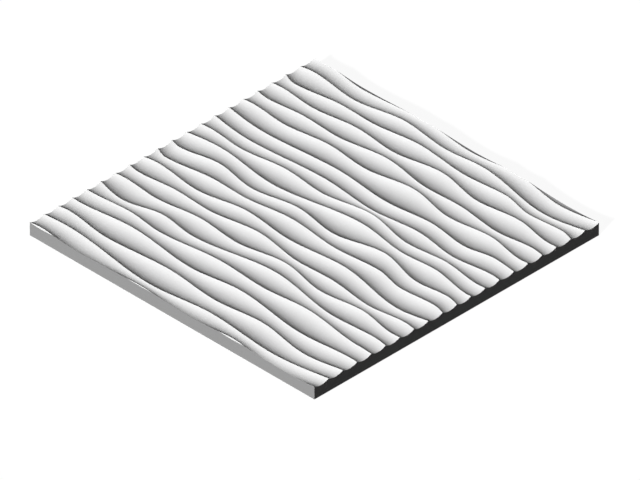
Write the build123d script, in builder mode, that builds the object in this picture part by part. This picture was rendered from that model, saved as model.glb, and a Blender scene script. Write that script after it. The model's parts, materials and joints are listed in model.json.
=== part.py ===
"""Wavy wall tile: a square cast slab with a flat back and a face of winding grooves.

Sharp ridges run from end to end of the face, all at the full thickness, and sway sideways as they go.
Between each two ridges lies a hollow groove whose section is one arc, deeper where the ridges part and
shallower where they close up. Every ridge starts and ends on an even pitch, and the pattern repeats
across the tile, so tiles laid side by side or end to end carry the waves on.

Frame: origin at the middle of the flat back, +X along the ridges, +Y across them, +Z out of the face.
"""

import os

from build123d import *

# Driving dimensions, in millimetres
tile_length = 500.0
tile_width = 500.0
tile_thickness = 20.0
groove_count = 20
groove_depth = 3.5  # of a groove one pitch wide; the others keep its proportion

# How finely the face is drawn: sections along the tile, and narrow flats across each groove's arc
section_count = 40
flats_per_groove = 6

groove_pitch = tile_width / groove_count

# The turning points of each wavy line: how far along the tile, as a share of its length, and how far the
# line has swayed towards +Y there, as a share of the groove pitch.
edge_line = [(0.034, 0.09), (0.178, -0.23), (0.388, 0.04), (0.562, -0.23), (0.710, 0.07), (0.880, -0.37)]
sagging_line = [(0.080, 0.10), (0.400, -0.55), (0.598, -0.16), (0.822, -0.46)]
rolling_line = [(0.022, -0.02), (0.197, 0.30), (0.420, -0.11), (0.578, 0.26), (0.816, -0.23), (0.980, 0.01)]
climbing_line = [
    (0.012, 0.00), (0.144, 0.18), (0.254, -0.03), (0.458, 0.36), (0.606, 0.22), (0.750, 0.46), (0.954, 0.03),
]
humped_line = [(0.093, -0.37), (0.214, 0.14), (0.324, -0.12), (0.582, 0.60), (0.822, -0.04), (0.956, 0.11)]
peaked_line = [
    (0.036, 0.06), (0.144, -0.10), (0.292, 0.24), (0.420, 0.04),
    (0.572, 0.51), (0.722, 0.02), (0.852, 0.32), (0.974, -0.04),
]
low_peaked_line = [
    (0.036, 0.06), (0.144, -0.10), (0.292, 0.24), (0.420, 0.04),
    (0.572, 0.51), (0.730, -0.02), (0.852, 0.21), (0.974, -0.05),
]
twinned_line = [
    (0.040, -0.12), (0.164, 0.10), (0.272, 0.01), (0.434, 0.44),
    (0.596, 0.03), (0.700, 0.11), (0.848, -0.17), (0.964, 0.09),
]
drifting_line = [(0.046, 0.12), (0.192, -0.17), (0.350, 0.33), (0.506, 0.06), (0.682, 0.35), (0.906, -0.33)]
diving_line = [(0.046, 0.12), (0.194, -0.17), (0.352, 0.34), (0.510, 0.05), (0.626, 0.27), (0.874, -0.44)]
shouldered_line = [
    (0.042, -0.27), (0.200, 0.10), (0.292, 0.06), (0.452, 0.42),
    (0.618, 0.16), (0.754, 0.36), (0.854, 0.01), (0.960, 0.17),
]
rippled_line = [
    (0.034, -0.16), (0.154, 0.24), (0.284, -0.14), (0.430, 0.32),
    (0.564, -0.03), (0.716, 0.59), (0.864, -0.03), (0.958, 0.17),
]
swelling_line = [(0.108, 0.25), (0.306, -0.16), (0.588, 0.60), (0.752, 0.23), (0.852, 0.37), (0.988, -0.02)]
hollow_line = [(0.134, -0.29), (0.386, 0.02), (0.562, -0.23), (0.712, 0.07), (0.848, -0.24), (0.974, 0.04)]
kicking_line = [(0.134, -0.29), (0.386, 0.02), (0.560, -0.23), (0.710, 0.06), (0.832, -0.20), (0.928, 0.13)]

# The line that each ridge follows, from the -Y side to the +Y side. The same few lines come again,
# and the ridge on the +Y side follows the first line once more.
ridge_lines = [
    edge_line, sagging_line, edge_line, rolling_line, climbing_line,
    humped_line, peaked_line, twinned_line, drifting_line, shouldered_line,
    rippled_line, swelling_line, low_peaked_line, hollow_line, kicking_line,
    peaked_line, twinned_line, peaked_line, shouldered_line, diving_line,
]


def sway_of(turning_points, along):
    """Sideways sway of a line at a share of the tile's length, easing from each turn to the next.

    The first and last turns are mirrored through the tile's ends, where the line crosses its pitch.
    """
    first_along, first_sway = turning_points[0]
    last_along, last_sway = turning_points[-1]
    turns = [(-first_along, -first_sway), *turning_points, (2 - last_along, -last_sway)]
    for (start, start_sway), (end, end_sway) in zip(turns, turns[1:]):
        if start <= along <= end:
            part_way = (along - start) / (end - start)
            ease = part_way**2 * (3 - 2 * part_way)
            return start_sway + (end_sway - start_sway) * ease


def ridge_across(number, along):
    """Where a ridge crosses the section at a share of the tile's length, measured from the middle."""
    line = ridge_lines[number % groove_count % len(ridge_lines)]
    return (number + sway_of(line, along)) * groove_pitch - tile_width / 2


# The lofted block is one groove wider than the tile on both sides, and the tile is cut out of it
with BuildPart() as wavy_tile:
    for section in range(section_count + 1):
        along = section / section_count
        ridges = [ridge_across(number, along) for number in range(-1, groove_count + 2)]
        with BuildSketch(Plane.YZ.offset((along - 0.5) * tile_length)):
            with BuildLine():
                face_points = [(ridges[0], tile_thickness)]
                for near, far in zip(ridges, ridges[1:]):
                    depth = groove_depth * (far - near) / groove_pitch
                    groove = SagittaArc(
                        (near, tile_thickness), (far, tile_thickness), -depth, mode=Mode.PRIVATE
                    )
                    for flat in range(flats_per_groove):
                        face_points.append(groove @ ((flat + 1) / flats_per_groove))
                Polyline((ridges[0], 0), *face_points, (ridges[-1], 0), close=True)
            make_face()
    loft()
    with BuildSketch(Plane.XY):
        Rectangle(tile_length, tile_width)
    extrude(amount=tile_thickness, mode=Mode.INTERSECT)

wavy_tile.part.label = "wavy_tile"

os.makedirs("parts", exist_ok=True)
export_step(wavy_tile.part, "parts/wavy_tile.step")
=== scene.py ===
# %% [markdown]
# A wavy wall tile in cast plaster
# The tile is one square slab of white gypsum plaster, cast face down. Liquid plaster is poured into a rubber
# mould, and the open back is struck off level before it sets. So the face has the waves, and the back is
# flat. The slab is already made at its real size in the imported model. That model draws each groove with a
# few narrow flats, so this lesson models the face again with true arcs, and then gives it its plaster and
# its light.

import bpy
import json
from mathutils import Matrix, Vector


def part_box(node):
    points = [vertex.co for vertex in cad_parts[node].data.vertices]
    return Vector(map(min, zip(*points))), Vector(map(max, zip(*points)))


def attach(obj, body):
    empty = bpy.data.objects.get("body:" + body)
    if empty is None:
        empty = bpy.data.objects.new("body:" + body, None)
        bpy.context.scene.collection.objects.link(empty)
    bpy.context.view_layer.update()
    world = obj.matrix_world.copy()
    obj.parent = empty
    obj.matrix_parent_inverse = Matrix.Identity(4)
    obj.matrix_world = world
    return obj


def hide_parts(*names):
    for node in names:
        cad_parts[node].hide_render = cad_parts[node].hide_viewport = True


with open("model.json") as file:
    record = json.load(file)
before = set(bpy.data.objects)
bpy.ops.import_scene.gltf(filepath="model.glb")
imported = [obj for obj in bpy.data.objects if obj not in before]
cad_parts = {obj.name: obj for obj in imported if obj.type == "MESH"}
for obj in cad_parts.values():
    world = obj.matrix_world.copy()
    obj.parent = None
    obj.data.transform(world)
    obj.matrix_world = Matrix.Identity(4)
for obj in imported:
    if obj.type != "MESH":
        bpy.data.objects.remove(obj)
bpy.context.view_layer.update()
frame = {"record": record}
tile_low, tile_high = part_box("wavy_tile")
tile_length, tile_width, tile_thickness = tile_high - tile_low
print(f"packed tile: {tile_length:.4f} x {tile_width:.4f} x {tile_thickness:.4f} m")

# %% Bring in the rest of the tools
import json
import math

import bpy
from mathutils import Vector

print(f"Blender {bpy.app.version_string}")

# %% [markdown]
# The lines of the ridges
# The face is drawn by its ridges. Each ridge runs from end to end of the tile and sways sideways, and the
# same few lines come again and again, as they do in a mould whose maker cut them with one set of templates.
# A line could be a curve object, but a short list of its turning points is easier to read and to change.
# Between two turns the line eases from one side to the other, as a smooth step does.

# %% Name each line's turning points
# Each point holds how far along the tile it is, as a share of the length, and how far the line has swayed
# towards +Y there, as a share of the groove pitch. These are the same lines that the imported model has.
edge_line = [(0.034, 0.09), (0.178, -0.23), (0.388, 0.04), (0.562, -0.23), (0.710, 0.07), (0.880, -0.37)]
sagging_line = [(0.080, 0.10), (0.400, -0.55), (0.598, -0.16), (0.822, -0.46)]
rolling_line = [(0.022, -0.02), (0.197, 0.30), (0.420, -0.11), (0.578, 0.26), (0.816, -0.23), (0.980, 0.01)]
climbing_line = [
    (0.012, 0.00), (0.144, 0.18), (0.254, -0.03), (0.458, 0.36), (0.606, 0.22), (0.750, 0.46), (0.954, 0.03),
]
humped_line = [(0.093, -0.37), (0.214, 0.14), (0.324, -0.12), (0.582, 0.60), (0.822, -0.04), (0.956, 0.11)]
peaked_line = [
    (0.036, 0.06), (0.144, -0.10), (0.292, 0.24), (0.420, 0.04),
    (0.572, 0.51), (0.722, 0.02), (0.852, 0.32), (0.974, -0.04),
]
low_peaked_line = [
    (0.036, 0.06), (0.144, -0.10), (0.292, 0.24), (0.420, 0.04),
    (0.572, 0.51), (0.730, -0.02), (0.852, 0.21), (0.974, -0.05),
]
twinned_line = [
    (0.040, -0.12), (0.164, 0.10), (0.272, 0.01), (0.434, 0.44),
    (0.596, 0.03), (0.700, 0.11), (0.848, -0.17), (0.964, 0.09),
]
drifting_line = [(0.046, 0.12), (0.192, -0.17), (0.350, 0.33), (0.506, 0.06), (0.682, 0.35), (0.906, -0.33)]
diving_line = [(0.046, 0.12), (0.194, -0.17), (0.352, 0.34), (0.510, 0.05), (0.626, 0.27), (0.874, -0.44)]
shouldered_line = [
    (0.042, -0.27), (0.200, 0.10), (0.292, 0.06), (0.452, 0.42),
    (0.618, 0.16), (0.754, 0.36), (0.854, 0.01), (0.960, 0.17),
]
rippled_line = [
    (0.034, -0.16), (0.154, 0.24), (0.284, -0.14), (0.430, 0.32),
    (0.564, -0.03), (0.716, 0.59), (0.864, -0.03), (0.958, 0.17),
]
swelling_line = [(0.108, 0.25), (0.306, -0.16), (0.588, 0.60), (0.752, 0.23), (0.852, 0.37), (0.988, -0.02)]
hollow_line = [(0.134, -0.29), (0.386, 0.02), (0.562, -0.23), (0.712, 0.07), (0.848, -0.24), (0.974, 0.04)]
kicking_line = [(0.134, -0.29), (0.386, 0.02), (0.560, -0.23), (0.710, 0.06), (0.832, -0.20), (0.928, 0.13)]

# From the -Y side to the +Y side; the ridge on the +Y side follows the first line once more
ridge_lines = [
    edge_line, sagging_line, edge_line, rolling_line, climbing_line,
    humped_line, peaked_line, twinned_line, drifting_line, shouldered_line,
    rippled_line, swelling_line, low_peaked_line, hollow_line, kicking_line,
    peaked_line, twinned_line, peaked_line, shouldered_line, diving_line,
]
groove_count = len(ridge_lines)
groove_pitch = tile_width / groove_count
print(f"{groove_count} grooves at a pitch of {groove_pitch * 1000:.1f} mm")


# %% Follow a line along the tile
def sway_of(turning_points, along):
    """Sideways sway at a share of the length; the end turns are mirrored through the tile's ends."""
    first_along, first_sway = turning_points[0]
    last_along, last_sway = turning_points[-1]
    turns = [(-first_along, -first_sway), *turning_points, (2 - last_along, -last_sway)]
    for (start, start_sway), (end, end_sway) in zip(turns, turns[1:]):
        if start <= along <= end:
            part_way = (along - start) / (end - start)
            ease = part_way**2 * (3 - 2 * part_way)
            return start_sway + (end_sway - start_sway) * ease


def ridge_across(number, along):
    """Where a ridge stands across the tile, measured from the middle."""
    line = ridge_lines[number % groove_count]
    return (number + sway_of(line, along)) * groove_pitch - tile_width / 2


middle_ridge = groove_count // 2
print(f"the middle ridge is {ridge_across(middle_ridge, 0.5) * 1000:.1f} mm from the middle, halfway along")

# %% [markdown]
# The wavy sheet
# Each groove is a hollow whose section is one arc from ridge to ridge, deep where the ridges part and
# shallow where they close up. By hand this could be twenty swept curves, but they would have to be sewn
# together at the ridges. One grid has no seams: its lines along the tile are shared out among the grooves,
# and then every point of it is moved onto its own arc. The grid starts one groove too wide on both sides,
# because the outer ridges swing in and out over the edge of the tile.

# %% Add a grid over the face
steps_along = 160
steps_across_groove = 12
spare_grooves = 1
grid_grooves = groove_count + 2 * spare_grooves
steps_across = grid_grooves * steps_across_groove

bpy.ops.object.select_all(action="DESELECT")
bpy.ops.mesh.primitive_grid_add(x_subdivisions=steps_along, y_subdivisions=steps_across, size=1)
tile = bpy.context.object
tile.name = "cast_tile"
print(f"grid of {len(tile.data.vertices)} points and {len(tile.data.polygons)} faces")

# %% Work out where the ridges stand at each step
ridge_numbers = range(-spare_grooves, groove_count + spare_grooves + 1)
ridges_at_step = [
    [ridge_across(number, step / steps_along) for number in ridge_numbers] for step in range(steps_along + 1)
]
groove_widths = [far - near for ridges in ridges_at_step for near, far in zip(ridges, ridges[1:])]
print(f"grooves from {min(groove_widths) * 1000:.1f} to {max(groove_widths) * 1000:.1f} mm wide")

# %% Draw one groove's arc
groove_depth = 0.0035  # of a groove one pitch wide; the others keep its proportion
arc_half_turn = 2 * math.atan(2 * groove_depth / groove_pitch)


def groove_point(near, far, part_way):
    """Place across the tile and height of a point on the arc between two ridges."""
    radius = (far - near) / 2 / math.sin(arc_half_turn)
    turn = (2 * part_way - 1) * arc_half_turn
    across = (near + far) / 2 + radius * math.sin(turn)
    height = tile_thickness - radius * (math.cos(turn) - math.cos(arc_half_turn))
    return across, height


print(f"a groove's sides rise at {math.degrees(arc_half_turn):.1f} degrees to the ridges")

# %% Move every point onto its groove
# The grid is 1 m square about the origin, so a place on it plus 0.5 is a share of its size
ridge_points = set()
for point in tile.data.vertices:
    step_along = round((point.co.x + 0.5) * steps_along)
    step_across = round((point.co.y + 0.5) * steps_across)
    groove = min(step_across // steps_across_groove, grid_grooves - 1)
    near, far = ridges_at_step[step_along][groove : groove + 2]
    across, height = groove_point(near, far, step_across / steps_across_groove - groove)
    point.co = ((step_along / steps_along - 0.5) * tile_length, across, height)
    if step_across % steps_across_groove == 0 and 0 < step_across < steps_across:
        ridge_points.add(point.index)
lowest = min(point.co.z for point in tile.data.vertices)
print(f"deepest groove: {(tile_thickness - lowest) * 1000:.2f} mm below the ridges")

# %% [markdown]
# Blunt ridges
# A plaster ridge is never as sharp as a drawn line: the last grains of its crest stay in the mould. A narrow
# bevel along every ridge gives it that blunt crest. It is made now, while each ridge is still one whole line
# of the grid, because the side cuts will leave some of them in pieces. Edges are picked in code, by a test,
# as a hand would pick them with the mouse.


# %% Pick edges or faces by a test
def pick(piece, kind, wanted):
    """Open a piece in edit mode with only the wanted edges or faces selected, and count them."""
    bpy.ops.object.select_all(action="DESELECT")
    piece.select_set(True)
    bpy.context.view_layer.objects.active = piece
    bpy.ops.object.mode_set(mode="EDIT")
    bpy.ops.mesh.select_mode(type=kind)
    bpy.ops.mesh.select_all(action="DESELECT")
    bpy.ops.object.mode_set(mode="OBJECT")
    count = 0
    for part in piece.data.edges if kind == "EDGE" else piece.data.polygons:
        part.select = wanted(part)
        count += part.select
    bpy.ops.object.mode_set(mode="EDIT")
    return count


print("pick() is ready for edges and faces")

# %% Bevel the ridges
ridge_bevel = 0.00025
ridge_segments = 2

ridge_edges = pick(tile, "EDGE", lambda edge: ridge_points.issuperset(edge.vertices))
bpy.ops.mesh.bevel(offset=ridge_bevel, segments=ridge_segments, affect="EDGES", clamp_overlap=False)
bpy.ops.object.mode_set(mode="OBJECT")
print(f"bevelled {ridge_edges} ridge edges, {2 * ridge_bevel * 1000:.1f} mm across each crest")

# %% [markdown]
# From sheet to slab
# The tile's back is flat, so the sheet's outline is pulled down to it, pressed level and closed with one
# face. Then the spare grooves are sliced off, each with one straight cut that is filled as it is made, like
# trimming a casting with a saw. Solidify would be quicker, but it would give the back the waves too.

# %% Pull the outline down and close the back
bpy.ops.object.mode_set(mode="EDIT")
bpy.ops.mesh.select_mode(type="EDGE")
bpy.ops.mesh.select_all(action="DESELECT")
bpy.ops.mesh.select_non_manifold()
bpy.ops.mesh.extrude_edges_move(TRANSFORM_OT_translate={"value": (0, 0, -tile_thickness)})
bpy.ops.transform.resize(value=(1, 1, 0), center_override=(0, 0, 0))
bpy.ops.mesh.edge_face_add()
bpy.ops.object.mode_set(mode="OBJECT")
print(f"closed block of {len(tile.data.polygons)} faces, {tile.dimensions.y * 1000:.1f} mm wide")

# %% Cut off the spare grooves
cut_slack = 0.000001  # a point this near to the cut counts as on it
merge_distance = 0.00002  # points this near become one

bpy.ops.object.mode_set(mode="EDIT")
for side in (-1, 1):
    bpy.ops.mesh.select_all(action="SELECT")
    bpy.ops.mesh.bisect(
        plane_co=(0, side * tile_width / 2, 0),
        plane_no=(0, side, 0),
        use_fill=True,
        clear_outer=True,
        threshold=cut_slack,
    )
bpy.ops.mesh.select_all(action="SELECT")
bpy.ops.mesh.remove_doubles(threshold=merge_distance)
bpy.ops.mesh.normals_make_consistent(inside=False)
bpy.ops.object.mode_set(mode="OBJECT")
print(f"slab of {len(tile.data.polygons)} faces, {tile.dimensions.y * 1000:.2f} mm wide")

# %% [markdown]
# Clean walls and blunt edges
# The pulled-down outline leaves the two ends of the slab in hundreds of narrow strips. A flat wall needs
# only one face, so they are dissolved into it. Then the outer edges lose their sharpness, as plaster corners
# do when a tile leaves its mould: they get a small bevel round the back and up the four corners. A Bevel
# modifier would also round the rims of the grooves, so the edges are picked by their place instead. Last,
# the tile is shaded smooth, but not across the edges that stay sharp.

# %% Merge each flat wall into one face
nearly_one = 0.9999  # a flat wall's normal has more than this along one axis
flat_limit = math.radians(0.5)


def is_flat_wall(face):
    """True on the four edge faces of the slab and on its back."""
    return max(abs(face.normal.x), abs(face.normal.y), -face.normal.z) > nearly_one


wall_faces = pick(tile, "FACE", is_flat_wall)
bpy.ops.mesh.dissolve_limited(angle_limit=flat_limit)
bpy.ops.object.mode_set(mode="OBJECT")
walls_left = sum(is_flat_wall(face) for face in tile.data.polygons)
print(f"{wall_faces} flat faces became {walls_left}")

# %% Blunt the edges round the back and at the corners
arris = 0.0003
arris_segments = 3
near_enough = 0.00001  # points this near count as in one place


def is_outer_edge(edge):
    """True for the edges round the back and for the four upright ones."""
    start, end = (tile.data.vertices[index].co for index in edge.vertices)
    on_back = max(start.z, end.z) < near_enough
    upright = (start.xy - end.xy).length < near_enough
    return on_back or upright


outer_edges = pick(tile, "EDGE", is_outer_edge)
bpy.ops.mesh.bevel(offset=arris, segments=arris_segments, affect="EDGES", clamp_overlap=False)
bpy.ops.mesh.select_all(action="SELECT")
bpy.ops.mesh.remove_doubles(threshold=near_enough)
bpy.ops.object.mode_set(mode="OBJECT")
print(f"bevelled {outer_edges} edges of the slab")

# %% Shade it smooth between its sharp edges
sharp_from = math.radians(40)
bpy.ops.object.shade_smooth_by_angle(angle=sharp_from)
bpy.ops.object.modifier_add(type="WEIGHTED_NORMAL")
even_shading = tile.modifiers[-1]
even_shading.keep_sharp = True
bpy.ops.object.modifier_apply(modifier=even_shading.name)
tile.data.calc_loop_triangles()
print(f"finished tile: {len(tile.data.loop_triangles)} triangles")

# %% [markdown]
# Plaster
# Gypsum plaster out of a smooth mould is white, dead matt and almost even. Close to, it has a fine closed
# grain and a faint cloudiness where it dried unevenly. A little painted shade darkens the white between the
# grains, and a painted highlight lightens it on them. The moulded face and edges also have a pin hole here
# and there, where an air bubble touched the mould. The back never met the mould: it is rougher, and keeps
# the strokes of the board that struck it off. So there are two materials, and what they share is a node
# group. A picture of real plaster would have to be wrapped round the tile, and would blur close to. Here all
# of it is worked out from the tile's own coordinates, in metres, so each mark has its real size.


# %% Small helpers for node trees
def add_node(tree, kind, title, **settings):
    """Add a node with a plain title and set its own settings."""
    node = tree.nodes.new(kind)
    node.label = title
    for name, value in settings.items():
        setattr(node, name, value)
    return node


def set_inputs(node, **values):
    """Set input sockets by their names, with _ for a space."""
    for name, value in values.items():
        node.inputs[name.replace("_", " ")].default_value = value


def grey(value):
    """A neutral colour with full alpha."""
    return (value, value, value, 1)


print("add_node(), set_inputs() and grey() are ready")

# %% Take the plaster's colour from the record
cloud_strength = 0.02
base_colour = Vector(frame["record"]["materials"][0]["base_color"])
plaster_pale = (*base_colour * (1 + cloud_strength), 1)
plaster_dull = (*base_colour * (1 - cloud_strength), 1)
print("plaster colour", [round(part, 3) for part in base_colour], f"with {cloud_strength:.0%} of cloudiness")

# %% Let the white dry in clouds
clouds_per_metre = 14
cloud_detail = 4
chalky_roughness = 0.96
dense_roughness = 0.86


def add_clouds(group, place):
    """Cloudy white, and a matt that is a little less chalky where the white is pale."""
    clouds = add_node(group, "ShaderNodeTexNoise", "uneven drying")
    set_inputs(clouds, Scale=clouds_per_metre, Detail=cloud_detail)
    group.links.new(place, clouds.inputs["Vector"])
    white = add_node(group, "ShaderNodeMix", "cloudy white", data_type="RGBA")
    white.inputs["A"].default_value = plaster_dull
    white.inputs["B"].default_value = plaster_pale
    group.links.new(clouds.outputs["Fac"], white.inputs["Factor"])
    matt = add_node(group, "ShaderNodeMapRange", "chalky to dense")
    set_inputs(matt, To_Min=chalky_roughness, To_Max=dense_roughness)
    group.links.new(clouds.outputs["Fac"], matt.inputs["Value"])
    return white.outputs["Result"], matt.outputs["Result"]


print(f"clouds about {100 / clouds_per_metre:.0f} cm across")

# %% Grain the plaster and paint shade between the grains
grain_detail = 3
grain_raggedness = 0.6
grain_low, grain_high = 0.3, 0.7  # most of the grain's noise lies between these
# painted shade between the grains and painted highlight on them, this share either way
painted_grain_shade_strength = 0.04


def add_grain(group, place, grains_per_metre, grain_height):
    """The grain as plain noise, and as a height in metres."""
    grain = add_node(group, "ShaderNodeTexNoise", "closed grain")
    set_inputs(grain, Detail=grain_detail, Roughness=grain_raggedness)
    group.links.new(place, grain.inputs["Vector"])
    group.links.new(grains_per_metre, grain.inputs["Scale"])
    height = add_node(group, "ShaderNodeMath", "grain in metres", operation="MULTIPLY")
    group.links.new(grain.outputs["Fac"], height.inputs[0])
    group.links.new(grain_height, height.inputs[1])
    return grain.outputs["Fac"], height.outputs[0]


def add_painted_grain_shade(group, white, grain):
    """The white with painted shade where the grain is low and a painted highlight where it is high."""
    painted_grain_shade = add_node(group, "ShaderNodeMapRange", "painted shade between the grains")
    set_inputs(painted_grain_shade, From_Min=grain_low, From_Max=grain_high)
    set_inputs(painted_grain_shade, To_Min=1 - painted_grain_shade_strength, To_Max=1 + painted_grain_shade_strength)
    group.links.new(grain, painted_grain_shade.inputs["Value"])
    colour = add_node(group, "ShaderNodeMix", "white with painted grain shade", data_type="RGBA", blend_type="MULTIPLY")
    colour.inputs["Factor"].default_value = 1
    group.links.new(white, colour.inputs["A"])
    group.links.new(painted_grain_shade.outputs["Result"], colour.inputs["B"])
    return colour.outputs["Result"]


print(f"speckle of {painted_grain_shade_strength:.0%} either way")


# %% Build the group that both finishes share
def build_plaster_body():
    """Cloudy white with painted shade between the grains, uneven matt, and a grain whose size and height
    each finish sets.
    """
    group = bpy.data.node_groups.new("plaster_body", "ShaderNodeTree")
    for name, kind in (("Place", "Vector"), ("Grains per metre", "Float"), ("Grain height", "Float")):
        group.interface.new_socket(name, in_out="INPUT", socket_type="NodeSocket" + kind)
    for name, kind in (("Colour", "Color"), ("Roughness", "Float"), ("Height", "Float")):
        group.interface.new_socket(name, in_out="OUTPUT", socket_type="NodeSocket" + kind)
    given = add_node(group, "NodeGroupInput", "given").outputs
    result = add_node(group, "NodeGroupOutput", "result").inputs

    white, matt = add_clouds(group, given["Place"])
    grain, height = add_grain(group, given["Place"], given["Grains per metre"], given["Grain height"])
    colour = add_painted_grain_shade(group, white, grain)
    group.links.new(colour, result["Colour"])
    group.links.new(matt, result["Roughness"])
    group.links.new(height, result["Height"])
    return group


plaster_body = build_plaster_body()
print(f"{plaster_body.name}: {len(plaster_body.nodes)} nodes")

# %% Start a finish from the shared group
plaster_gloss = 0.03


def start_finish(name, grains_per_metre, grain_height):
    """A new plaster material: its tree, its shader, its coordinates and its body node."""
    material = bpy.data.materials.new(name)
    material.use_nodes = True
    tree = material.node_tree
    shader = tree.nodes["Principled BSDF"]
    set_inputs(shader, Specular_IOR_Level=plaster_gloss)
    place = add_node(tree, "ShaderNodeTexCoord", "place on the tile").outputs["Object"]
    body = add_node(tree, "ShaderNodeGroup", "plaster body", node_tree=plaster_body)
    set_inputs(body, Grains_per_metre=grains_per_metre, Grain_height=grain_height)
    tree.links.new(place, body.inputs["Place"])
    tree.links.new(body.outputs["Colour"], shader.inputs["Base Color"])
    tree.links.new(body.outputs["Roughness"], shader.inputs["Roughness"])
    return material, tree, shader, place, body


def add_relief(tree, shader, body, extra_height):
    """Add a further height, in metres, to the body's grain and turn the sum into bump."""
    total = add_node(tree, "ShaderNodeMath", "all relief", operation="ADD")
    tree.links.new(body.outputs["Height"], total.inputs[0])
    tree.links.new(extra_height, total.inputs[1])
    bump = add_node(tree, "ShaderNodeBump", "relief in metres")
    set_inputs(bump, Strength=1, Distance=1)
    tree.links.new(total.outputs[0], bump.inputs["Height"])
    tree.links.new(bump.outputs["Normal"], shader.inputs["Normal"])


print("start_finish() and add_relief() are ready")

# %% Finish the moulded face and edges
fine_grains_per_metre = 1800
fine_grain_height = 0.000025
bubbles_per_metre = 130
hole_reach = 0.06  # of the distance between bubbles
hole_depth = 0.00015


def mould_plaster():
    """Smooth plaster from the mould, with scattered pin holes."""
    material, tree, shader, place, body = start_finish(
        "moulded_plaster", fine_grains_per_metre, fine_grain_height
    )
    bubbles = add_node(tree, "ShaderNodeTexVoronoi", "air bubbles")
    set_inputs(bubbles, Scale=bubbles_per_metre)
    tree.links.new(place, bubbles.inputs["Vector"])
    hole = add_node(tree, "ShaderNodeMapRange", "pin hole", interpolation_type="SMOOTHSTEP")
    set_inputs(hole, From_Min=0, From_Max=hole_reach, To_Min=-hole_depth, To_Max=0)
    tree.links.new(bubbles.outputs["Distance"], hole.inputs["Value"])
    add_relief(tree, shader, body, hole.outputs["Result"])
    return material


moulded_plaster = mould_plaster()
tile.data.materials.append(moulded_plaster)
print(f"{moulded_plaster.name}: {len(moulded_plaster.node_tree.nodes)} nodes")

# %% Finish the struck-off back
coarse_grains_per_metre = 450
coarse_grain_height = 0.00005
strokes_per_metre = 220
stroke_detail = 2
stroke_stretch = 0.03  # less than 1 draws the strokes out along X
stroke_height = 0.0001


def strike_plaster():
    """Rougher plaster with long strokes along the tile."""
    material, tree, shader, place, body = start_finish(
        "struck_plaster", coarse_grains_per_metre, coarse_grain_height
    )
    along = add_node(tree, "ShaderNodeMapping", "drawn out along X")
    set_inputs(along, Scale=(stroke_stretch, 1, 1))
    tree.links.new(place, along.inputs["Vector"])
    strokes = add_node(tree, "ShaderNodeTexNoise", "strokes of the board")
    set_inputs(strokes, Scale=strokes_per_metre, Detail=stroke_detail)
    tree.links.new(along.outputs["Vector"], strokes.inputs["Vector"])
    height = add_node(tree, "ShaderNodeMath", "strokes in metres", operation="MULTIPLY")
    tree.links.new(strokes.outputs["Fac"], height.inputs[0])
    height.inputs[1].default_value = stroke_height
    add_relief(tree, shader, body, height.outputs[0])
    return material


struck_plaster = strike_plaster()
tile.data.materials.append(struck_plaster)
back_faces = pick(tile, "FACE", lambda face: -face.normal.z > nearly_one)
tile.active_material_index = tile.data.materials.find(struck_plaster.name)
bpy.ops.object.material_slot_assign()
bpy.ops.object.mode_set(mode="OBJECT")
print(f"{struck_plaster.name} on {back_faces} face")

# %% [markdown]
# The view
# The picture is an isometric one: the camera looks down on one corner with no perspective, so all three
# edges are drawn to one scale. A long lens from far away would come near to that, and an orthographic camera
# does just that. Its directions are written down, and the rest follows: how much the picture takes in, and
# which point is at its middle.

# %% Work out the camera's directions
picture_size = Vector((640, 480))
pixels_per_metre = 805.18
back_centre_pixel = Vector((314.4, 235.35))  # where the middle of the tile's back shows

towards_camera = Vector((1, -1, 1)).normalized()
picture_right = Vector((1, 1, 0)).normalized()
picture_up = towards_camera.cross(picture_right)
off_middle = (picture_size / 2 - back_centre_pixel) / pixels_per_metre
aim = picture_right * off_middle.x - picture_up * off_middle.y
print("the camera aims at", [round(part, 4) for part in aim])

# %% Stand the camera
camera_distance = 3.0
camera_turn = (-towards_camera).to_track_quat("-Z", "Y").to_euler()
bpy.ops.object.camera_add(location=aim + towards_camera * camera_distance, rotation=camera_turn)
camera = bpy.context.object
camera.data.type = "ORTHO"
camera.data.ortho_scale = picture_size.x / pixels_per_metre
bpy.context.scene.camera = camera
print(f"the picture is {camera.data.ortho_scale:.3f} m wide")

# %% [markdown]
# The light
# Low light from one side is what shows a relief: it rakes across the grooves, so that the flanks that face
# it are bright and those just behind a ridge are dark. It also comes a little from one end, so that a groove
# changes its shade as it swings to and fro. A spot lamp would light the near grooves more than the far ones.
# A sun lamp lights them all alike, wherever it stands, and a disc wider than the real sun's softens its
# shadows. A little light from all round keeps the dark flanks open. The far edge of the tile still gets next
# to nothing, so a weak second sun shines on it from behind, almost level with the floor. The ridges are all
# of one height, so they hide each other from that lamp, and it lights the edge alone.

# %% Set the raking key light
key_elevation = math.radians(26)
key_swing = math.radians(16.5)  # from straight across the grooves towards the +X end
key_strength = 4.52
key_disc = math.radians(4)

key_turn = (math.pi / 2 - key_elevation, 0, key_swing)
bpy.ops.object.light_add(type="SUN", rotation=key_turn)
key = bpy.context.object
key.name = "raking_key"
key.data.energy = key_strength
key.data.angle = key_disc
print(f"key light {math.degrees(key_elevation):.0f} degrees above the floor")

# %% Set the level light behind
back_elevation = math.radians(0.1)
back_strength = 0.5
back_disc = math.radians(0.2)

bpy.ops.object.light_add(type="SUN", rotation=(back_elevation - math.pi / 2, 0, 0))
back_light = bpy.context.object
back_light.name = "level_back_light"
back_light.data.energy = back_strength
back_light.data.angle = back_disc
print(f"back light {back_strength / key_strength:.0%} as strong as the key")

# %% [markdown]
# Nets for the near edges
# The key light reaches two edges of the tile. The -Y side would be as bright as the brightest flank, and
# lost against the white floor, and the +X end would be a middling grey. Darker plaster there would help, but
# it would then be dark in every light. A photographer hangs a net before such an edge instead, a gauze that
# lets only part of the light through. Here each net is a copy of the edge's own face, drawn out a hair past
# both ends and moved a hair towards the lamp, so that its shadow covers the edge and hardly anything else.
# The camera and the bounced light don't see it.


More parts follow.
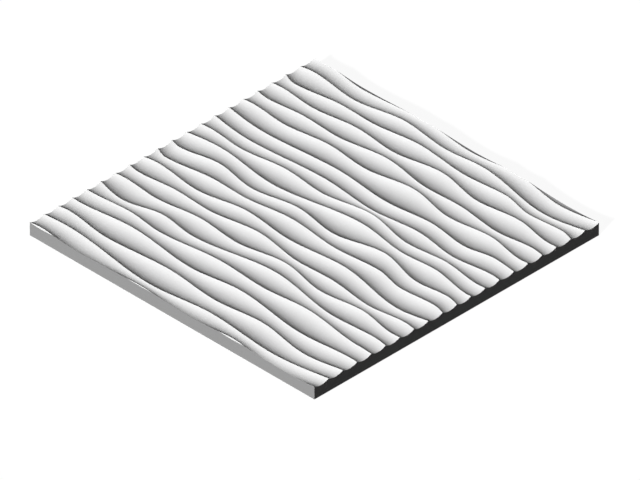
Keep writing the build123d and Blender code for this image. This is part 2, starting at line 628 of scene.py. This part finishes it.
# %% Make a gauze
def weave_gauze(name, passes):
    """A material that lets a share of the light straight through and stops the rest."""
    gauze = bpy.data.materials.new(name)
    gauze.use_nodes = True
    tree = gauze.node_tree
    tree.nodes.remove(tree.nodes["Principled BSDF"])
    veil = add_node(tree, "ShaderNodeBsdfTransparent", "lets part of the light through")
    set_inputs(veil, Color=grey(passes))
    tree.links.new(veil.outputs[0], tree.nodes["Material Output"].inputs["Surface"])
    return gauze


print("weave_gauze() is ready")

# %% Hang a net before an edge
net_gap = 0.0005
net_margin = 0.0001  # how far the net reaches past both ends of its edge
towards_key = key.rotation_euler.to_matrix() @ Vector((0, 0, 1))  # a lamp shines along its own -Z


def hang_net(name, is_its_face, stretch, passes):
    """Copy one edge's face, draw it out a hair, move it a hair towards the key and make it a gauze."""
    pick(tile, "FACE", is_its_face)
    bpy.ops.mesh.duplicate()
    bpy.ops.transform.resize(value=stretch, center_override=(0, 0, 0))
    bpy.ops.transform.translate(value=towards_key * net_gap)
    bpy.ops.mesh.separate(type="SELECTED")
    bpy.ops.object.mode_set(mode="OBJECT")
    (net,) = [piece for piece in bpy.context.selected_objects if piece != tile]
    net.name = name
    net.data.materials.clear()
    net.data.materials.append(weave_gauze(name + "_gauze", passes))
    net.visible_camera = False
    net.visible_diffuse = False
    net.visible_glossy = False
    net.visible_transmission = False


print("hang_net() is ready")

# %% Hang a thin net on the -Y side and a dense one at the +X end
side_passes = 0.308
end_passes = 0.028
side_stretch = (tile_length / 2 + net_margin) / (tile_length / 2 - arris)
end_stretch = (tile_width / 2 + net_margin) / (tile_width / 2 - arris)

hang_net("side_net", lambda face: -face.normal.y > nearly_one, (side_stretch, 1, 1), side_passes)
hang_net("end_net", lambda face: face.normal.x > nearly_one, (1, end_stretch, 1), end_passes)
print(f"the side gets {side_passes:.0%} of the key light, the end {end_passes:.0%}")

# %% [markdown]
# White all round
# The tile lies on white paper in a white room, but paper that bright would throw light into every shadow. So
# the floor and the room are white only for the rays that come from the camera, or from a gloss or a glass.
# For the light that they throw on the tile, both are dim. The paper still darkens where the tile shades it.


# %% Tell rays that see from rays that light
def seen_directly(tree):
    """1 for rays from the camera and for those that a gloss or a glass sends on, else 0."""
    ray = add_node(tree, "ShaderNodeLightPath", "kind of ray").outputs
    seen = ray["Is Camera Ray"]
    for other in ("Is Glossy Ray", "Is Transmission Ray"):
        either = add_node(tree, "ShaderNodeMath", "either", operation="MAXIMUM")
        tree.links.new(seen, either.inputs[0])
        tree.links.new(ray[other], either.inputs[1])
        seen = either.outputs[0]
    return seen


def white_where_seen(tree, dim, white, output):
    """Join two shaders so that rays that see get the white one, and all others the dim one."""
    choice = add_node(tree, "ShaderNodeMixShader", "dim or white")
    tree.links.new(seen_directly(tree), choice.inputs["Fac"])
    tree.links.new(dim.outputs[0], choice.inputs[1])
    tree.links.new(white.outputs[0], choice.inputs[2])
    tree.links.new(choice.outputs[0], output.inputs["Surface"])


print("white_where_seen() is ready")

# %% Light the room
room_light = 0.014
world = bpy.data.worlds.new("white_room")
bpy.context.scene.world = world
world.use_nodes = True
room = world.node_tree
dim_room = room.nodes["Background"]
set_inputs(dim_room, Color=grey(1), Strength=room_light)
white_room = add_node(room, "ShaderNodeBackground", "white room")
set_inputs(white_room, Color=grey(1), Strength=1)
white_where_seen(room, dim_room, white_room, room.nodes["World Output"])
print(f"the room gives {room_light:.0%} of white")

# %% Mix the white paper
paper_glow = 0.94  # what the camera sees of it even in the shadow
paper_shade = 0.11  # the share of the lamps' light that the camera sees on top of that
paper_bounce = 0.042  # the share that it throws back on the tile


def mix_paper():
    """Paper that looks white, takes a faint shadow and throws little light back."""
    material = bpy.data.materials.new("white_paper")
    material.use_nodes = True
    tree = material.node_tree
    tree.nodes.remove(tree.nodes["Principled BSDF"])
    glow = add_node(tree, "ShaderNodeEmission", "white")
    set_inputs(glow, Color=grey(1), Strength=paper_glow)
    shaded = add_node(tree, "ShaderNodeBsdfDiffuse", "takes the shadow")
    set_inputs(shaded, Color=grey(paper_shade))
    white = add_node(tree, "ShaderNodeAddShader", "white with a shadow")
    tree.links.new(glow.outputs[0], white.inputs[0])
    tree.links.new(shaded.outputs[0], white.inputs[1])
    dim = add_node(tree, "ShaderNodeBsdfDiffuse", "throws light back")
    set_inputs(dim, Color=grey(paper_bounce))
    white_where_seen(tree, dim, white, tree.nodes["Material Output"])
    return material


paper = mix_paper()
print(f"{paper.name}: {len(paper.node_tree.nodes)} nodes")

# %% Lay the floor
floor_size = 8.0
floor_gap = 0.0001  # keeps the floor clear of the tile's back

bpy.ops.object.select_all(action="DESELECT")
bpy.ops.mesh.primitive_plane_add(size=floor_size, location=(0, 0, -floor_gap))
floor = bpy.context.object
floor.name = "floor"
floor.data.materials.append(paper)
print(f"floor {floor_size:.0f} m square")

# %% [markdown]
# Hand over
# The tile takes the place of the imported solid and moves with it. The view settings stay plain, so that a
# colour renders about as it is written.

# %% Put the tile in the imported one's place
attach(tile, "root")
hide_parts("wavy_tile")
bpy.context.scene.view_settings.view_transform = "Standard"
print(f"{tile.name} stands for wavy_tile")
